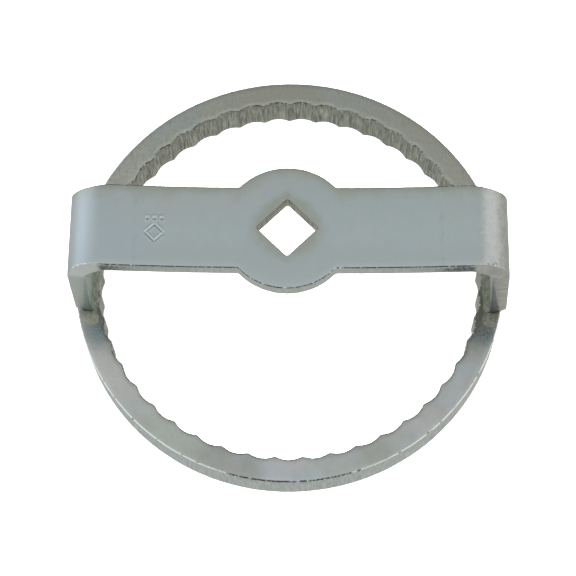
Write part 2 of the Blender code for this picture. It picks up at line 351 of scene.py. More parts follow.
def ring_edge_zinc(name, plain, bruised_and_shaded, low, high):
    """A ring edge with painted glints, which turns from its plain colour to a dark colour of bruises and
    painted shade as a noise goes from low to high.
    """
    g = ZincGraph(name)
    knocks_and_dark_line, nicks = edge_noises(g)
    x, y, _ = g.split(g.place)
    # Painted shade: the dark edge line is strongest at the front middle.
    middle = g.mul(g.remap(g.abs(x), 9.0, 24.0, 0.2, 0.0), g.remap(y, -55.0, -45.0, 1.0, 0.0))
    colour = g.mix(g.remap(g.add(knocks_and_dark_line, middle), low, high), plain, bruised_and_shaded)
    return finish_edge(g, colour, knocks_and_dark_line, nicks, g.remap(nicks, 0.57, 0.62))


def leg_tear(g, colour, depth, across, run, clump, tears, grit):
    """(colour, share) of the torn zone that widens down each leg, with a crack on the right one."""
    along = g.abs(run)
    start = g.sub(5.0, g.mul(g.sub(along, 69.5), 0.105))
    wandering = g.add(depth, g.mul(g.sub(clump, 0.5), 1.2))
    torn = g.remap(g.sub(wandering, start), -0.15, 0.45)
    torn = g.mul(torn, g.remap(along, 68.5, 71.0))
    right = g.remap(run, -20.0, 20.0)
    dull = g.mix(right, (0.38, 0.435, 0.41), (0.25, 0.27, 0.262))
    gritty = g.mix(right, (0.29, 0.35, 0.365), (0.35, 0.362, 0.345))
    dull = g.over(dull, gritty, grit, 0.38, 0.62, 0.6)
    streaked = g.mix(right, (0.45, 0.495, 0.465), (0.15, 0.18, 0.215))
    dull = g.over(dull, streaked, tears, 0.5, 0.6, 0.7)
    colour = g.mix(torn, colour, dull)
    slant = g.add(g.mul(depth, 0.25), g.mul(clump, 0.8))
    from_crack = g.abs(g.sub(g.sub(run, slant), 78.0))
    crack = g.mul(g.remap(from_crack, 0.1, 0.3, 0.75, 0.0), g.remap(depth, 2.6, 3.6, 1.0, 0.0))
    crack = g.mul(crack, g.remap(across, -1.0, 1.0, 1.0, 0.0))
    colour = g.mix(crack, colour, ZINC_DARK)
    return colour, torn


def shear_zinc():
    """The stamped side walls: smooth sheared bands, ragged near the bends and torn on the legs."""
    g = ZincGraph("bridge_wall_zinc")
    depth, across, run = g.on_bar()
    along = g.abs(run)
    scratch = g.noise(g.join(g.mul(run, 2.2), g.mul(depth, 0.25), across), 1.0, 4.0, 0.65)
    clump = g.noise(g.join(g.mul(run, 0.5), g.mul(depth, 0.7), across), 1.0, 4.0, 0.65)
    tears = g.noise(g.join(g.mul(run, 1.3), g.mul(depth, 1.8), across), 1.0, 4.0, 0.75)
    grit = g.cloud(2.2, 4.0, 0.75)
    on_leg = g.remap(along, 54.0, 60.0)
    fine = g.mul(g.remap(scratch, 0.3, 0.7), g.sub(1.0, g.mul(on_leg, 0.6)))
    colour = g.mix(fine, (0.562, 0.594, 0.564), (0.47, 0.5, 0.474))
    colour = g.over(colour, (0.47, 0.495, 0.47), clump, 0.45, 0.7, 0.35)
    colour = g.over(colour, (0.44, 0.462, 0.45), along, 64.0, 72.0, 0.75)
    stain = g.cloud(0.45, 4.0, 0.7)
    stained = g.over((0.455, 0.455, 0.43), (0.39, 0.38, 0.335), stain, 0.42, 0.6)
    colour = g.over(colour, stained, run, 55.0, 61.0, 0.85)
    in_left_bend = g.mul(g.remap(run, -56.0, -54.0, 1.0, 0.0), g.remap(run, -72.0, -66.0))
    colour = g.mix(in_left_bend, colour, (0.615, 0.635, 0.625))
    reach = g.add(along, g.mul(run, 0.03))
    before_bend = g.remap(along, 53.5, 55.5, 1.0, 0.0)
    middle = g.remap(g.abs(g.sub(depth, 2.8)), 0.6, 2.2, 0.12, 0.0)
    dotted = g.mul(middle, g.remap(reach, 37.0, 46.0))
    ragged = g.add(dotted, g.remap(reach, 43.0, 51.0, 0.0, 0.16))
    tear = g.remap(g.add(tears, ragged), 0.65, 0.73)
    colour = g.mix(g.mul(tear, before_bend), colour, (0.135, 0.152, 0.16))
    colour, torn = leg_tear(g, colour, depth, across, run, clump, tears, grit)
    _, _, z = g.split(g.place)
    foot_z = g.math("MAXIMUM", RING_HEIGHT, g.sub(BEVEL_TOP_Z, depth))
    # Painted shadow with oxide: a dark line just above each leg's foot.
    foot_shadow_and_oxide = g.remap(g.sub(z, foot_z), 0.9, 1.4, 0.8, 0.0)
    colour = g.mix(g.mul(foot_shadow_and_oxide, g.remap(depth, 1.6, 2.6)), colour, BRUISE_AND_SHADE)
    rough = g.add(g.remap(scratch, 0.3, 0.7, 0.38, 0.48), g.mul(torn, 0.12))
    torn_height = g.mul(g.add(grit, tears), g.add(0.1, torn))
    normal = g.bump(g.add(torn_height, g.mul(fine, 0.3)), 0.1, 0.8)
    return g.finish(colour, rough, normal)


def under_zinc():
    """The bar's inner faces, which the light reaches less: greener, with dull patches."""
    g = ZincGraph("bridge_under_zinc")
    depth, across, run = g.on_bar()
    streak = g.noise(g.join(g.mul(run, 0.08), g.mul(across, 0.7), depth), 1.0, 4.0, 0.6)
    patch = g.cloud(0.3, 4.0, 0.6)
    grain = g.cloud(2.6, 3.0, 0.7)
    colour = g.over((0.33, 0.385, 0.335), (0.255, 0.3, 0.285), streak, 0.35, 0.65)
    colour = g.over(colour, (0.255, 0.28, 0.26), patch, 0.4, 0.7, 0.5)
    colour = g.over(colour, (0.22, 0.24, 0.23), grain, 0.25, 0.75, 0.25)
    rough = g.remap(streak, 0.3, 0.7, 0.38, 0.5)
    return g.finish(colour, rough, g.bump(g.add(grain, streak), 0.05, 0.6))


def hole_zinc():
    """The walls of the square hole: olive, with the punch's vertical drag marks."""
    g = ZincGraph("drive_hole_zinc")
    x, y, z = g.split(g.place)
    along = g.sub(g.abs(x), g.abs(y))
    drag = g.noise(g.join(g.mul(along, 1.6), g.mul(z, 0.12), 0.0), 1.0, 4.0, 0.6)
    patch = g.cloud(0.5, 3.0)
    colour = g.over((0.42, 0.415, 0.355), (0.28, 0.28, 0.24), drag, 0.3, 0.7)
    colour = g.over(colour, (0.23, 0.235, 0.21), patch, 0.4, 0.65, 0.5)
    rough = g.remap(drag, 0.3, 0.7, 0.36, 0.5)
    return g.finish(colour, rough, g.bump(drag, 0.08, 0.6))


def heat_tint(g, x_sign):
    """How strongly the heat of one leg's welds has tinted the plating: 0 to 1."""
    cloud = g.cloud(0.3, 4.0, 0.65)
    tint = 0.0
    for y_sign in (-1.0, 1.0):
        away = g.distance(g.place, (x_sign * HEAT_SPOT[0], y_sign * HEAT_SPOT[1], RING_HEIGHT))
        spot = g.remap(g.add(away, g.mul(cloud, 6.0)), 4.5, 13.5, 1.0, 0.0)
        tint = g.math("MAXIMUM", tint, spot)
    return tint


def ring_face_zinc():
    """The ring's flat faces: mottled satin zinc with heat tint beside the welds."""
    g = ZincGraph("ring_face_zinc")
    patch = g.cloud(0.16, 5.0, 0.65)
    mottle = g.cloud(0.9, 4.0, 0.7)
    grain = g.cloud(3.0, 3.0, 0.7)
    scratch = g.noise(g.stretch(g.place, (2.6, 0.16, 1.0)), 1.0, 4.0, 0.65)
    x, y, _ = g.split(g.place)
    colour = g.over((0.64, 0.632, 0.624), (0.512, 0.508, 0.494), x, -50.0, 0.0)
    # Painted shade: darker towards the front of the ring.
    colour = g.mix(g.remap(y, -60.0, -30.0, 0.95, 0.0), colour, (0.365, 0.37, 0.368))
    colour = g.over(colour, (0.51, 0.518, 0.495), patch, 0.35, 0.65, 0.4)
    colour = passivated(g, colour, 1.5)
    dull_side = g.remap(y, -5.0, 25.0, 0.2, 1.0)  # the far half is blotchier and more olive
    dulled = g.mul(dull_side, g.remap(mottle, 0.4, 0.62, 0.0, 0.8))
    colour = g.mix(dulled, colour, (0.465, 0.468, 0.385))
    scored = g.mul(dull_side, g.remap(scratch, 0.55, 0.68, 0.0, 0.7))
    colour = g.mix(scored, colour, (0.33, 0.34, 0.3))
    grainy = g.mul(g.add(0.25, dull_side), g.remap(grain, 0.3, 0.7, 0.0, 0.4))
    colour = g.mix(grainy, colour, (0.38, 0.39, 0.365))
    wander = g.mul(g.cloud(0.7, 4.0, 0.6), 5.0)
    speckle = g.remap(g.cloud(2.0, 3.0, 0.75), 0.42, 0.58, 0.45, 1.0)
    for side, x_sign in SIDES.items():
        mirrored = g.join(x, g.mul(g.abs(y), -1.0), 0.0)
        from_blue = g.add(g.distance(mirrored, BLUE_CENTRE[side]), wander)
        blue = g.remap(from_blue, 3.5, BLUE_REACH[side], 1.0, 0.1)
        tinted = g.mix(blue, TINT_BROWN[side], TINT_BLUE[side])
        tint = g.mul(heat_tint(g, x_sign), speckle)
        colour = g.mix(g.mul(tint, 0.95), colour, tinted)
    # Painted light: the ring face beside the right leg, under the bar, made lighter and olive against
    # the bar's shade.
    painted_light_beside_weld = g.mul(g.remap(x, 40.0, 50.0), g.remap(g.abs(y), 12.0, 19.0, 0.8, 0.0))
    colour = g.mix(painted_light_beside_weld, colour, (0.375, 0.365, 0.285))
    rough = g.remap(mottle, 0.3, 0.7, 0.33, 0.43)
    normal = g.bump(g.add(grain, mottle), 0.05, 0.55)
    return g.finish(colour, rough, normal)


def cut_lines(g, pitch, run_on, detail, rough):
    """Lines up the ring's walls: fine round the ring, and drawn out along its height."""
    x, y, z = g.split(g.place)
    round_ring = g.mul(g.math("ARCTAN2", y, x), RING_OUTER_R)
    return g.noise(g.join(g.mul(round_ring, pitch), g.mul(z, run_on), 0.0), 1.0, detail, rough)


def ring_wall_zinc():
    """The ring's outer wall: cut lines running up it, under the plating."""
    g = ZincGraph("ring_wall_zinc")
    lines = cut_lines(g, 1.6, 0.12, 4.0, 0.7)
    patch = g.cloud(0.12, 4.0, 0.6)
    grain = g.cloud(2.5, 3.0, 0.7)
    colour = g.over((0.575, 0.6, 0.585), (0.37, 0.425, 0.445), lines, 0.36, 0.64)
    colour = g.over(colour, (0.48, 0.485, 0.44), patch, 0.35, 0.65, 0.5)
    colour = g.over(colour, (0.35, 0.37, 0.36), grain, 0.25, 0.75, 0.25)
    rough = g.remap(lines, 0.3, 0.7, 0.38, 0.48)
    normal = g.bump(g.add(lines, g.mul(grain, 0.5)), 0.06, 0.6)
    return g.finish(colour, rough, normal)


def ring_flute_zinc():
    """The fluted inner wall: darker, with cut lines and worn dark crests."""
    g = ZincGraph("ring_flute_zinc")
    lines = cut_lines(g, 1.5, 0.1, 5.0, 0.75)
    x, y, _ = g.split(g.place)
    patch = g.cloud(0.25, 4.0, 0.6)
    crest = g.remap(g.length(x, y), FLUTE_CREST_R, FLUTE_CREST_R + 0.35, 1.0, 0.0)
    colour = g.over((0.485, 0.49, 0.415), (0.15, 0.155, 0.138), lines, 0.35, 0.63)
    colour = g.over(colour, (0.235, 0.24, 0.2), patch, 0.4, 0.65, 0.5)
    worn = g.mul(crest, g.remap(g.cloud(0.6, 3.0), 0.35, 0.6, 0.2, 0.8))
    colour = g.mix(worn, colour, ZINC_DARK)
    rough = g.remap(lines, 0.3, 0.7, 0.38, 0.52)
    normal = g.bump(g.add(lines, g.mul(patch, 0.4)), 0.1, 0.7)
    return g.finish(colour, rough, normal)


def weld_zinc():
    """Weld metal plated over: olive, pitted and dull, browner on the right, with painted glints."""
    g = ZincGraph("weld_bead_zinc")
    x, y, _ = g.split(g.place)
    patch = g.cloud(0.5, 4.0, 0.65)
    grit = g.cloud(2.2, 4.0, 0.7)
    pits = g.remap(g.cells(g.place, 0.9), 0.06, 0.2, 1.0, 0.0)
    right = g.remap(x, -10.0, 10.0)
    light = g.mix(right, (0.31, 0.355, 0.3), (0.29, 0.292, 0.228))
    dark = g.mix(right, (0.215, 0.23, 0.18), (0.18, 0.178, 0.132))
    colour = g.over(light, dark, patch, 0.38, 0.62)
    gritty = g.mix(right, (0.4, 0.43, 0.4), (0.265, 0.29, 0.265))
    colour = g.over(colour, gritty, grit, 0.45, 0.65, 0.5)
    puddle = g.remap(g.abs(y), BAR_HALF_WIDTH + 0.3, BAR_HALF_WIDTH + 1.8, 0.0, 0.55)
    colour = g.mix(puddle, colour, g.mix(right, (0.455, 0.465, 0.4), (0.32, 0.335, 0.295)))
    freckle = g.remap(g.cloud(1.3, 4.0, 0.8), 0.46, 0.6, 0.0, 0.95)
    colour = g.mix(g.mul(freckle, puddle), colour, g.mix(right, (0.21, 0.2, 0.15), (0.11, 0.105, 0.085)))
    colour = g.mix(g.mul(pits, 0.45), colour, (0.08, 0.08, 0.07))
    # Painted highlight: scattered glints on the beads.
    painted_glint = g.remap(g.noise(g.shift(g.place, (5.0, 2.0, 9.0)), 1.1, 4.0, 0.75), 0.64, 0.68, 0.0, 0.8)
    colour = g.mix(painted_glint, colour, PAINTED_GLINT)
    rough = g.remap(grit, 0.3, 0.7, 0.36, 0.55)
    height = g.sub(g.add(grit, patch), pits)
    return g.finish(colour, rough, g.bump(height, 0.1, 0.7))


# Mesh helpers -----


SHARP_DEG = 32.0  # edges that turn more than this stay sharp


def scene_object(name, data):
    obj = bpy.data.objects.new(name, data)
    bpy.context.scene.collection.objects.link(obj)
    return obj


def mesh_object(name, points, faces, slots, materials, sharp_deg=SHARP_DEG):
    """A mesh object from points in millimetres, faces, and each face's material number."""
    mesh = bpy.data.meshes.new(name)
    mesh.from_pydata([tuple(c * MM for c in p) for p in points], [], faces)
    for material in materials:
        mesh.materials.append(material)
    mesh.polygons.foreach_set("material_index", slots)
    mesh.shade_smooth()
    mesh.set_sharp_from_angle(angle=math.radians(sharp_deg))
    return scene_object(name, mesh)


def tube_faces(rows, slots_round, cap_slot):
    """Quads between rows of points that each go round once, with a flat cap at each end."""
    around = len(slots_round)
    faces = []
    for row in range(rows - 1):
        this, after = row * around, (row + 1) * around
        for i in range(around):
            j = (i + 1) % around
            faces.append((this + i, this + j, after + j, after + i))
    faces.append(tuple(reversed(range(around))))
    faces.append(tuple(range((rows - 1) * around, rows * around)))
    return faces, slots_round * (rows - 1) + [cap_slot, cap_slot]


# Ring -------------

CREST_WEAR = 0.16
RING_EDGE_R = 0.38
STEPS_PER_FLUTE = 20


def flute_radius(share):
    """Inner radius at a share, from -1 to 1, of the way from a valley's middle to its crests."""
    half_angle = math.pi / FLUTE_COUNT
    half_chord = FLUTE_CREST_R * math.sin(half_angle)
    sagitta = FLUTE_VALLEY_R - FLUTE_CREST_R * math.cos(half_angle)
    arc_r = (half_chord**2 + sagitta**2) / (2 * sagitta)
    centre = FLUTE_VALLEY_R - arc_r
    angle = share * half_angle
    arc = centre * math.cos(angle) + math.sqrt(arc_r**2 - (centre * math.sin(angle)) ** 2)
    return arc + CREST_WEAR * math.exp(-(((1.0 - abs(share)) / 0.1) ** 2))


def ring_section(inner):
    """(radius, z, slot) round the ring's cross-section: up the flutes, out, down the wall and back.

    The slots are 0 face, 1 outer wall, 2 flutes, 3 upper outer edge and 4 upper inner edge.
    """
    near, far = inner + RING_EDGE_R, RING_OUTER_R - RING_EDGE_R
    low, high = RING_EDGE_R, RING_HEIGHT - RING_EDGE_R
    points = []

    def side(start, end, shares, slot):
        for share in shares:
            radius = start[0] + (end[0] - start[0]) * share
            points.append((radius, start[1] + (end[1] - start[1]) * share, slot))

    def corner(radius, z, start_deg, slots):
        for i, slot in enumerate(slots):
            angle = math.radians(start_deg - 30 * i)
            across, up = RING_EDGE_R * math.cos(angle), RING_EDGE_R * math.sin(angle)
            points.append((radius + across, z + up, slot))

    side((inner, low), (inner, high), (0.0, 0.2, 0.4, 0.6, 0.8), 2)
    corner(near, high, 180, (4, 4, 4, 0))
    side((near, RING_HEIGHT), (far, RING_HEIGHT), (0.2, 0.4, 0.6, 0.8), 0)
    corner(far, high, 90, (3, 3, 3, 1))
    side((RING_OUTER_R, high), (RING_OUTER_R, low), (0.2, 0.4, 0.6, 0.8), 1)
    corner(far, low, 0, (1, 1, 0, 0))
    side((far, 0.0), (near, 0.0), (0.25, 0.5, 0.75), 0)
    corner(near, low, -90, (0, 0, 2))
    return points


def make_ring():
    """The ring: its cross-section turned round the axis, with its inner side on the flutes."""
    steps = FLUTE_COUNT * STEPS_PER_FLUTE
    points, faces, slots = [], [], []
    for step in range(steps):
        angle = math.radians(FLUTE_PHASE_DEG) + 2 * math.pi * step / steps
        share = 2 * (step % STEPS_PER_FLUTE) / STEPS_PER_FLUTE - 1
        section = ring_section(flute_radius(share))
        around = len(section)
        start, after = step * around, (step + 1) % steps * around
        for i, (radius, z, slot) in enumerate(section):
            j = (i + 1) % around
            points.append((radius * math.cos(angle), radius * math.sin(angle), z))
            faces.append((start + i, after + i, after + j, start + j))
            slots.append(slot)
    materials = [
        ring_face_zinc(),
        ring_wall_zinc(),
        ring_flute_zinc(),
        # The outer edge's plain colour is a painted highlight line and its dark colour is painted shade
        # with bruises; the inner edge's dark colours are painted shade with bruises.
        ring_edge_zinc("ring_outer_edge_zinc", (0.88, 0.89, 0.87), (0.09, 0.095, 0.095), 0.56, 0.64),
        ring_edge_zinc("ring_inner_edge_zinc", (0.32, 0.32, 0.265), (0.11, 0.11, 0.09), 0.46, 0.6),
    ]
    return mesh_object("ring_fluted", points, faces, slots, materials)


# Bridge -----------

FILLET_Y = BAR_HALF_WIDTH + BOSS_FILLET_R
FILLET_X = math.sqrt((BOSS_R + BOSS_FILLET_R) ** 2 - FILLET_Y**2)
TANGENT_X = FILLET_X * BOSS_R / (BOSS_R + BOSS_FILLET_R)


def bar_half_width(x):
    """Half the width of the flat blank at a distance x from the drive axis."""
    if x >= FILLET_X:
        return BAR_HALF_WIDTH
    if x >= TANGENT_X:
        return FILLET_Y - math.sqrt(BOSS_FILLET_R**2 - (x - FILLET_X) ** 2)
    return math.sqrt(BOSS_R**2 - x**2)


def arm_rise(x):
    """How far an arm has bowed up at a distance x from the drive axis."""
    run = max(0.0, x - CROWN_HALF)
    return ARM_BOW_R - math.sqrt(ARM_BOW_R**2 - run**2)


def bend_frame(side):
    """(centre x, centre z, start angle) of the bend from arm to leg."""
    end_x = ARM_END_X[side]
    start = math.pi / 2 + math.asin((end_x - CROWN_HALF) / ARM_BOW_R)
    return (
        end_x - BEND_OUTER_R * math.cos(start),
        CROWN_Z + arm_rise(end_x) - BEND_OUTER_R * math.sin(start),
        start,
    )


def leg_outer_x(side, z):
    """Distance of a leg's outer face from the drive axis at a height."""
    splay = LEG_SPLAY[side]
    centre_x, centre_z, _ = bend_frame(side)
    top_x = centre_x + BEND_OUTER_R * math.cos(splay)
    top_z = centre_z + BEND_OUTER_R * math.sin(splay)
    return top_x + (top_z - z) * math.tan(splay)


def leg_inner_x(side, z):
    """Distance of a leg's inner face from the drive axis at a height."""
    return leg_outer_x(side, z) - BAR_THICKNESS / math.cos(LEG_SPLAY[side])


MARK_CENTRE = (-38.6, -2.2)
MARK_HALF_DIAGONAL = 2.7
MARK_DOTS_X = (-40.7, -38.6, -36.5)
MARK_DOTS_Y = 2.4
MARK_DOT_R = 0.25
MARK_GROOVE = 0.2
MARK_LIP = 0.05
BRAKE_LINE_GROOVE = 0.05


def spaced(start, end, step):
    """Numbers from just past start to end, about a step apart."""
    count = max(1, round(abs(end - start) / step))
    return [start + (end - start) * (i + 1) / count for i in range(count)]


def arm_stations(side):
    """Distances of stations along one arm, closer together at the mark and the brake line."""
    line = BRAKE_LINE_X[side]
    plan = []
    stops = [(FILLET_X + 0.001, 0)]
    stops += [(34.8, 0.9), (42.4, 0.15)] if side == "left" else [(40.0, 0.9)]
    stops += [(line - 1.0, 0.6), (line + 1.0, 0.14), (ARM_END_X[side], 0.7)]
    for (start, _), (end, step) in zip(stops, stops[1:]):
        plan += spaced(start, end, step)
    return plan


def half_stations(side):
    """(x, z, normal angle, half width, pinch, developed length) from the boss to a leg's foot."""
    stations = []
    boss_angle = math.asin(TANGENT_X / BOSS_R)
    plan = [BOSS_R * math.sin(boss_angle * i / 30) for i in range(1, 31)]
    plan += spaced(TANGENT_X, FILLET_X, 0.12)
    plan += arm_stations(side)
    for x in plan:
        slope = math.asin(max(0.0, x - CROWN_HALF) / ARM_BOW_R)
        stations.append((x, CROWN_Z + arm_rise(x), math.pi / 2 + slope, bar_half_width(x), 0.0, x))
    centre_x, centre_z, start = bend_frame(side)
    splay = LEG_SPLAY[side]
    bend_steps = 30
    run = ARM_END_X[side]
    for i in range(1, bend_steps + 1):
        angle = start + (splay - start) * i / bend_steps
        run += BEND_OUTER_R * (start - splay) / bend_steps
        stations.append((
            centre_x + BEND_OUTER_R * math.cos(angle),
            centre_z + BEND_OUTER_R * math.sin(angle),
            angle,
            BAR_HALF_WIDTH,
            math.sin(math.pi * i / bend_steps),
            run,
        ))
    leg_top_z = stations[-1][1]
    for z in spaced(leg_top_z, BEVEL_TOP_Z + 0.5, 1.4):
        stations.append((leg_outer_x(side, z), z, splay, BAR_HALF_WIDTH, 0.0, run + (leg_top_z - z)))
    return stations


ROLL_WIDTH = 2.4  # the die roll, where the outer face sinks towards its edges
ROLL_DROP = 0.05
ROLL_STEPS = 7
EDGE_R = 0.24
WALL_STEPS = 9
WALL_TAPER = 0.1
INNER_EDGE_INSET = 0.22
INNER_EDGE_RISE = 0.12
INNER_STEPS = 12
FLAT = BAR_HALF_WIDTH - ROLL_WIDTH
MARK_COLUMNS = spaced(-5.6, 3.6, 0.16)  # close together, to draw the mark
FLAT_COLUMNS = [-FLAT, *spaced(-FLAT, -5.6, 0.7), *MARK_COLUMNS, *spaced(3.6, FLAT, 0.7)]


def mark_depth(x, y):
    """How deep the generic punched mark goes at a point: a diamond outline and a row of dots."""
    u, v = abs(x - MARK_CENTRE[0]), abs(y - MARK_CENTRE[1])
    to_line = abs(u + v - MARK_HALF_DIAGONAL) / math.sqrt(2)
    if max(u, v) > MARK_HALF_DIAGONAL + 0.1:
        to_line = 9.0
    nearest = to_line
    for dot_x in MARK_DOTS_X:
        nearest = min(nearest, max(0.0, math.hypot(x - dot_x, y - MARK_DOTS_Y) - MARK_DOT_R))
    groove = MARK_GROOVE * (1.0 - smooth(nearest, 0.0, 0.36))
    lip = MARK_LIP * math.exp(-(((nearest - 0.58) / 0.16) ** 2))
    return groove - lip


def pressed_depth(side, x, across):
    """How deep the brake line and the mark go below an arm's outer face at a point."""
    if side is None or x > ARM_END_X[side]:
        return 0.0
    depth = BRAKE_LINE_GROOVE * math.exp(-(((x - BRAKE_LINE_X[side]) / 0.35) ** 2))
    if side == "left":
        depth += mark_depth(-x, across)
    return depth


def edge_profile():
    """(inset, depth, slot going out, slot coming back) from the outer face to the inner one."""
    rows = []
    for i in range(1, ROLL_STEPS + 1):
        share = i / ROLL_STEPS
        inset = ROLL_WIDTH - (ROLL_WIDTH - EDGE_R) * share
        rows.append((inset, ROLL_DROP * share**2.2, 0 if i < ROLL_STEPS else 1, 0))
    for i in range(1, 4):
        turn = math.radians(30 * i)
        depth = ROLL_DROP + EDGE_R * (1 - math.cos(turn))
        rows.append((EDGE_R * (1 - math.sin(turn)), depth, 1 if i < 3 else 2, 1))
    wall_top = ROLL_DROP + EDGE_R
    wall_height = BAR_THICKNESS - INNER_EDGE_RISE - wall_top
    for i in range(1, WALL_STEPS + 1):
        share = i / WALL_STEPS
        rows.append((WALL_TAPER * share**2, wall_top + wall_height * share, 2, 2))
    rows.append((INNER_EDGE_INSET, BAR_THICKNESS, 3, 2))
    return rows


EDGE_PROFILE = edge_profile()


def cross_section(station, side):
    """Points round the bar at a station, as (x, y, z, slot, depth, across).

    The slots are 0 outer face, 1 edge, 2 side wall and 3 inner face. side is None at the middle.
    """
    x, z, angle, half, pinch, _ = station
    normal = Vector((math.cos(angle), 0.0, math.sin(angle)))
    origin = Vector((x, 0.0, z))
    sign = SIDES[side] if side else 1.0
    rows = []

    def add(across, depth, slot):
        spread = across * (1.0 - BEND_PINCH * pinch * (1.0 - 2.0 * depth / BAR_THICKNESS) / half)
        point = origin - normal * depth
        rows.append((sign * point.x, spread, point.z, slot, depth, across))

    for column in FLAT_COLUMNS:
        add(column * (half - ROLL_WIDTH) / FLAT, pressed_depth(side, x, column), 0)
    for inset, depth, slot, _ in EDGE_PROFILE:
        add(half - inset, depth, slot)
    for i in range(1, INNER_STEPS):
        add((half - INNER_EDGE_INSET) * (1 - 2 * i / INNER_STEPS), BAR_THICKNESS, 3)
    for inset, depth, _, slot in reversed(EDGE_PROFILE):
        add(inset - half, depth, slot)
    return rows


FOOT_RUN = 4.0  # the length counted for the bevelled foot


def foot_section(side):
    """The leg's end: square-cut next to its inner face, with the weld bevel on the rest."""
    splay = LEG_SPLAY[side]
    station = (leg_outer_x(side, BEVEL_TOP_Z), BEVEL_TOP_Z, splay, BAR_HALF_WIDTH, 0.0, 0.0)
    rows = []
    for _, y, _, slot, depth, across in cross_section(station, side):
        bevel_share = min(1.0, depth / (BAR_THICKNESS - LEG_LAND))
        foot_z = BEVEL_TOP_Z + (RING_HEIGHT + 0.03 - BEVEL_TOP_Z) * bevel_share
        reach = leg_outer_x(side, foot_z) - depth / math.cos(splay)
        rows.append((SIDES[side] * reach, y, foot_z, slot, depth, across))
    return rows


def diamond_cutter(name, material):
    """The square drive hole's shape, flared by a small rounding at both faces."""
    corner_steps = 6
    centre = Vector(((DRIVE_ACROSS_FLATS / 2 - DRIVE_CORNER_R) * math.sqrt(2), 0.0, 0.0))
    top, low = CROWN_Z, CROWN_Z - BAR_THICKNESS
    flares = [(low - 1.0, 0.25), (low, 0.12), (low + 0.12, 0.0), (top - 0.25, 0.0), (top - 0.12, 0.03)]
    flares += [(top - 0.04, 0.08), (top, 0.16), (top + 1.0, 1.2)]
    points = []
    for z, flare in flares:
        for quarter in range(4):
            turn = Matrix.Rotation(math.radians(90 * quarter), 3, "Z")
            for i in range(corner_steps + 1):
                angle = math.radians(90 * i / corner_steps - 45)
                offset = Vector((math.cos(angle), math.sin(angle), 0.0)) * (DRIVE_CORNER_R + flare)
                p = turn @ (centre + offset)
                points.append((p.x, p.y, z))
    faces, slots = tube_faces(len(flares), [0] * (4 * (corner_steps + 1)), cap_slot=0)
    return mesh_object(name, points, faces, slots, [material])


def store_bar_coordinates(mesh, loops, runs):
    """Stores (depth below the outer face, distance across, distance along) at each point of the bar.

    Points that the hole's cut added lie near the crown, where these are just Z, Y and X.
    """
    known = {}
    for loop, run in zip(loops, runs):
        half = max(row[5] for row in loop)
        for x, y, z, _, depth, across in loop:
            known[(round(x, 2), round(y, 2), round(z, 2))] = (depth, across + BAR_HALF_WIDTH - half, run)
    values = []
    for vertex in mesh.vertices:
        x, y, z = (c / MM for c in vertex.co)
        fallback = (CROWN_Z - z, y - BOSS_R + BAR_HALF_WIDTH, x)
        values.append(known.get((round(x, 2), round(y, 2), round(z, 2)), fallback))
    bar = mesh.attributes.new("bar", "FLOAT_VECTOR", "POINT")
    bar.data.foreach_set("vector", np.array(values, np.float32).ravel())


def half_sections(side):
    """[(cross-section, developed length)] from the boss to a leg's end."""
    stations = half_stations(side)
    sections = [(cross_section(station, side), SIDES[side] * station[5]) for station in stations]
    return [*sections, (foot_section(side), SIDES[side] * (stations[-1][5] + FOOT_RUN))]


def make_bridge():
    """The bar: its cross-section swept from foot to foot, with the drive hole cut out."""
    middle = (cross_section((0.0, CROWN_Z, math.pi / 2, BOSS_R, 0.0, 0.0), None), 0.0)
    loops, runs = zip(*reversed(half_sections("left")), middle, *half_sections("right"))
    points = [row[:3] for loop in loops for row in loop]
    faces, slots = tube_faces(len(loops), [row[3] for row in loops[0]], cap_slot=2)
    faces = [tuple(reversed(face)) for face in faces]
    materials = [face_zinc(), bar_edge_zinc(), shear_zinc(), under_zinc(), hole_zinc()]
    bridge = mesh_object("bridge_bar", points, faces, slots, materials)
    cutter = diamond_cutter("drive_hole_shape", materials[4])
    cut = bridge.modifiers.new("drive_hole", "BOOLEAN")
    cut.operation = "DIFFERENCE"
    cut.solver = "EXACT"
    cut.material_mode = "TRANSFER"
    cut.object = cutter
    bpy.context.view_layer.update()
    evaluated = bridge.evaluated_get(bpy.context.evaluated_depsgraph_get())
    cut_mesh = bpy.data.meshes.new_from_object(evaluated)
    bridge.modifiers.clear()
    bridge.data = cut_mesh
    bpy.data.objects.remove(cutter)
    store_bar_coordinates(cut_mesh, loops, runs)
    cut_mesh.shade_smooth()
    cut_mesh.set_sharp_from_angle(angle=math.radians(SHARP_DEG))
    return bridge


# Welds ------------

CORNER_RUN = 1.6  # the length counted for a turn round one of the leg's corners


def lumps(point, size, seed):
    """Smooth lumpy noise, about -1 to 1, with features of the given size in millimetres."""
    shifted = Vector(point) / size + Vector((seed, seed * 0.7, -seed))
    return noise.fractal(shifted, 0.8, 2.0, 3)


def fillet_path():
    """(out, y, direction away from the leg, share past the corner, distance) along the inner weld."""
    half = [(0.0, y, 0.0, y) for y in spaced(0.0, BAR_HALF_WIDTH, 0.3)]
    for share in spaced(0.0, 1.0, 1 / 12):
        half.append((0.0, BAR_HALF_WIDTH, share, BAR_HALF_WIDTH + CORNER_RUN * share))
    for out in spaced(0.0, PUDDLE_WRAP, 0.25):
        half.append((out, BAR_HALF_WIDTH, 1.0, BAR_HALF_WIDTH + CORNER_RUN + out))
    stations = []
    for sign, part in ((-1.0, half[::-1]), (1.0, [(0.0, 0.0, 0.0, 0.0), *half])):
        for out, y, share, run in part:
            turn = math.pi / 2 * share
            away = Vector((-math.cos(turn), sign * math.sin(turn)))
            stations.append((out, sign * y, away, share, sign * run))
    return stations


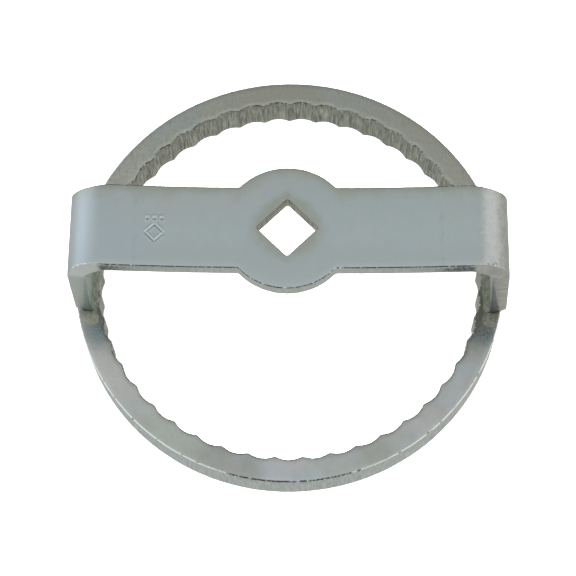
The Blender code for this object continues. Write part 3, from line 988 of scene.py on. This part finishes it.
FILLET_RISE = 4.6
FILLET_FOOT = {"left": 1.7, "right": 2.4}
FRONT_RISE = 0.8
FRONT_FOOT = 4.9
RIPPLE = 0.07
FOOT_Z = RING_HEIGHT - 0.05  # the beads reach a little into the ring
INNER_SEED = {"left": 3.0, "right": 11.0}
OUTER_SEED = {"left": 21.0, "right": 31.0}
INNER_BEAD = {"pitch": 1.15, "crown": 0.32, "lump_size": 0.16, "steps": 14}
OUTER_BEAD = {"pitch": 1.2, "crown": 0.3, "lump_size": 0.12, "steps": 12}


def bead_face(start, end, run, fullness, seed, pitch, crown, lump_size, steps):
    """The crowned, rippled face of a bead at one station, from start to end."""
    outwards = Vector((end.y - start.y, start.x - end.x)).normalized()
    face = []
    for i in range(steps + 1):
        t = i / steps
        ripple = RIPPLE * math.sin(2 * math.pi * (run / pitch + 0.9 * (t - 0.5) ** 2))
        lump = lump_size * lumps((run, 5.0 * t, 0.0), 1.3, seed)
        swell = fullness * (crown + ripple + lump) * math.sin(math.pi * t)
        face.append(start.lerp(end, t) + outwards * swell)
    return face


def bead_object(name, loops, material):
    """A closed mesh through the loops of points, with its normals outwards."""
    points = [p for loop in loops for p in loop]
    faces, slots = tube_faces(len(loops), [0] * len(loops[0]), cap_slot=0)
    bead = mesh_object(name, points, faces, slots, [material], sharp_deg=60.0)
    bm = bmesh.new()
    bm.from_mesh(bead.data)
    bmesh.ops.recalc_face_normals(bm, faces=bm.faces)
    bm.to_mesh(bead.data)
    bm.free()
    return bead


def inner_weld(side, material):
    """The fillet inside a leg, which wraps round both corners and flattens into a puddle."""
    inner_x = leg_inner_x(side, FOOT_Z)
    seed = INNER_SEED[side]
    loops = []
    for out, y, away, share, run in fillet_path():
        run_out = 1.0 - 0.55 * (out / PUDDLE_WRAP) ** 3
        sunk = smooth(abs(run), BAR_HALF_WIDTH - 3.5, BAR_HALF_WIDTH + CORNER_RUN)
        rise = (FILLET_RISE + (FRONT_RISE - FILLET_RISE) * sunk) * run_out
        rise *= 1.0 + 0.14 * lumps((run, 0.0, 0.0), 3.0, seed)
        foot = (FILLET_FOOT[side] + (FRONT_FOOT - FILLET_FOOT[side]) * smooth(share, 0.0, 1.0)) * run_out
        foot *= 1.0 + 0.18 * lumps((run, 9.0, 0.0), 2.5, seed)
        lean = (inner_x - leg_inner_x(side, FOOT_Z + rise)) * (1.0 - share)
        start, end = Vector((foot, 0.0)), Vector((lean - 0.02, rise))
        section = [Vector((-0.3, 0.0))]
        section += bead_face(start, end, run, 1.0 - 0.75 * share, seed, **INNER_BEAD)
        section.append(Vector((lean - 0.3, rise * 0.9)))
        loop = []
        for reach, height in section:
            spot = Vector((SIDES[side] * (inner_x + out + away.x * reach), y + away.y * reach))
            inside = min(1.0, (RING_OUTER_R - 0.5) / spot.length)  # the puddle stops at the ring's edge
            loop.append((spot.x * inside, spot.y * inside, FOOT_Z + height))
        loops.append(loop)
    return bead_object(f"weld_inner_{side}", loops, material)


def outer_weld(side, material):
    """The weld that fills the bevel outside a leg."""
    root = Vector((leg_inner_x(side, FOOT_Z) + LEG_LAND - 0.1, FOOT_Z))
    toe = Vector((leg_outer_x(side, FOOT_Z) - 0.1, FOOT_Z))
    top = Vector((leg_outer_x(side, BEVEL_TOP_Z) - 0.05, BEVEL_TOP_Z + 0.1))
    loops = []
    for y in [-GROOVE_HALF_LENGTH] + spaced(-GROOVE_HALF_LENGTH, GROOVE_HALF_LENGTH, 0.25):
        run_in = min(1.0, (GROOVE_HALF_LENGTH - abs(y)) / 2.4)
        swell = 0.3 + 0.7 * math.sin(math.pi / 2 * run_in)
        start, end = root.lerp(toe, swell), root.lerp(top, swell)
        section = [root, *bead_face(start, end, y, swell, OUTER_SEED[side], **OUTER_BEAD)]
        section.append(root.lerp(top, swell * 0.6) + Vector((-0.2, 0.2)))
        loops.append([(SIDES[side] * p.x, y, p.y) for p in section])
    return bead_object(f"weld_outer_{side}", loops, material)


# Stage ------------


def stage_object(name, points, faces, grey, glow):
    """A plain matt part of the studio set, which the metal doesn't reflect."""
    mesh = bpy.data.meshes.new(name)
    mesh.from_pydata(points, [], faces)
    paint = bpy.data.materials.new(f"{name}_paint")
    paint.use_nodes = True
    shader = paint.node_tree.nodes["Principled BSDF"]
    looks = {
        "Base Color": (grey, grey, grey, 1.0),
        "Roughness": 0.9,
        "Specular IOR Level": 0.0,
        "Emission Color": (1.0, 1.0, 1.0, 1.0),
        "Emission Strength": glow,
    }
    for socket, value in looks.items():
        shader.inputs[socket].default_value = value
    mesh.materials.append(paint)
    obj = scene_object(name, mesh)
    obj.visible_glossy = False
    return obj


def make_floor():
    half, z = 3.0, -0.0002
    corners = [(-half, -half, z), (half, -half, z), (half, half, z), (-half, half, z)]
    floor = stage_object("studio_floor", corners, [(0, 1, 2, 3)], 0.92, 0.0)


def make_backdrop():
    """A white wall all round, behind low views; it doesn't light the metal either."""
    radius, height, segments = 2.9, 3.0, 64
    points, faces = [], []
    for i in range(segments):
        angle = 2 * math.pi * i / segments
        for z in (-0.01, height):
            points.append((radius * math.cos(angle), radius * math.sin(angle), z))
        j = (i + 1) % segments
        faces.append((2 * i, 2 * i + 1, 2 * j + 1, 2 * j))
    wall = stage_object("studio_backdrop", points, faces, 0.0, 1.0)
    wall.visible_diffuse = False
    wall.visible_shadow = False


def area_light(name, place, target, size, power, colour, in_reflections):
    """A soft rectangular light at a place, turned towards a target."""
    light = bpy.data.lights.new(name, "AREA")
    light.shape = "RECTANGLE"
    light.size, light.size_y = size
    light.energy = power
    light.color = colour
    lamp = scene_object(name, light)
    lamp.location = place
    lamp.rotation_euler = (Vector(target) - Vector(place)).to_track_quat("-Z", "Y").to_euler()
    lamp.visible_glossy = in_reflections


# (level, colour) from -1, straight down, to 1, straight up
NADIR = (-1.0, (0.76, 0.78, 0.75))
ZENITH = (1.0, (0.44, 0.45, 0.43))
ROOM_LEVELS = (
    NADIR,
    (-0.55, (0.66, 0.68, 0.65)),
    (-0.2, (0.4, 0.41, 0.38)),
    (0.05, (0.24, 0.25, 0.23)),
    (0.55, (0.31, 0.32, 0.28)),
    (0.88, (0.4, 0.41, 0.36)),
    ZENITH,
)
LEFT_LEVELS = (
    NADIR,
    (-0.7, (0.58, 0.6, 0.58)),
    (-0.3, (0.72, 0.76, 0.77)),
    (0.05, (1.0, 1.07, 1.12)),
    (0.35, (0.94, 1.01, 1.06)),
    (0.64, (0.76, 0.81, 0.84)),
    (0.86, (0.53, 0.55, 0.55)),
    ZENITH,
)
RIGHT_LEVELS = (
    NADIR,
    (-0.6, (0.5, 0.5, 0.47)),
    (-0.25, (0.74, 0.73, 0.69)),
    (0.02, (0.9, 0.88, 0.84)),
    (0.45, (0.91, 0.9, 0.87)),
    (0.72, (1.04, 1.03, 1.01)),
    (0.83, (0.72, 0.72, 0.72)),
    ZENITH,
)


def sky_ramp(g, levels, height):
    """The colour at a height, which goes from 0, straight down, to 1, straight up."""
    ramp = g.node("ValToRGB")
    ramp.color_ramp.interpolation = "EASE"
    stops = ramp.color_ramp.elements
    while len(stops) < len(levels):
        stops.new(0.5)
    for stop, (level, colour) in zip(stops, levels):
        stop.position = (level + 1.0) / 2.0
        stop.color = (*colour, 1.0)
    g.put(ramp.inputs["Fac"], height)
    return ramp.outputs["Color"]


def make_world():
    """Studio surroundings: a grey room with a tall soft light on each side."""
    world = bpy.data.worlds.new("studio")
    bpy.context.scene.world = world
    world.use_nodes = True
    g = Graph(world.node_tree)
    across, _, up = g.split(g.node("TexCoord").outputs["Generated"])
    height = g.mul(g.add(up, 1.0), 0.5)
    colour = sky_ramp(g, ROOM_LEVELS, height)
    colour = g.mix(g.remap(across, -0.3, -0.62), colour, sky_ramp(g, LEFT_LEVELS, height))
    colour = g.mix(g.remap(across, 0.48, 0.62), colour, sky_ramp(g, RIGHT_LEVELS, height))
    g.put(g.tree.nodes["Background"].inputs["Color"], colour)


def make_lights():
    """A softbox overhead, and a wash for the floor that the metal doesn't reflect."""
    width, depth, radiance = 0.9, 0.7, 0.42
    power = radiance * math.pi * width * depth
    above, below = (0.0, -0.115, 0.55), (0.0, -0.115, 0.0)
    area_light("overhead_box", above, below, (width, depth), power, (0.96, 1.0, 1.05), True)
    area_light("floor_wash", (0.0, 0.0, 2.2), (0.0, 0.0, 0.0), (3.6, 3.6), 340.0, (1.0, 1.0, 1.0), False)


def make_camera():
    """A long lens, from high up at the near side."""
    target = Vector((-0.135, -7.683, 20.0)) * MM
    distance = 543.14 * MM
    elevation, azimuth, roll = (math.radians(a) for a in (68.894, 3.002, -2.538))
    back = Vector((
        math.sin(azimuth) * math.cos(elevation),
        -math.cos(azimuth) * math.cos(elevation),
        math.sin(elevation),
    ))
    level = Vector((0, 0, 1)).cross(back).normalized()
    upright = back.cross(level)
    right = level * math.cos(roll) + upright * math.sin(roll)
    up = upright * math.cos(roll) - level * math.sin(roll)
    data = bpy.data.cameras.new("photo_camera")
    data.sensor_width = 36.0
    data.lens = 111.38
    camera = scene_object("photo_camera", data)
    turn = Matrix((right, up, back)).transposed().to_4x4()
    camera.matrix_world = Matrix.Translation(target + back * distance) @ turn
    bpy.context.scene.camera = camera


# The scene --------

make_camera()
make_world()
make_lights()
make_floor()
make_backdrop()
bpy.context.scene.view_settings.view_transform = "Standard"

ring = make_ring()
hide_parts("fluted_ring")
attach(ring, "root")

bridge = make_bridge()
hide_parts("bridge")
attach(bridge, "root")

weld_metal = weld_zinc()
for side in SIDES:
    for maker, place in ((inner_weld, "inner"), (outer_weld, "outer")):
        bead = maker(side, weld_metal)
        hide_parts(f"{side}_{place}_weld")
        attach(bead, "root")
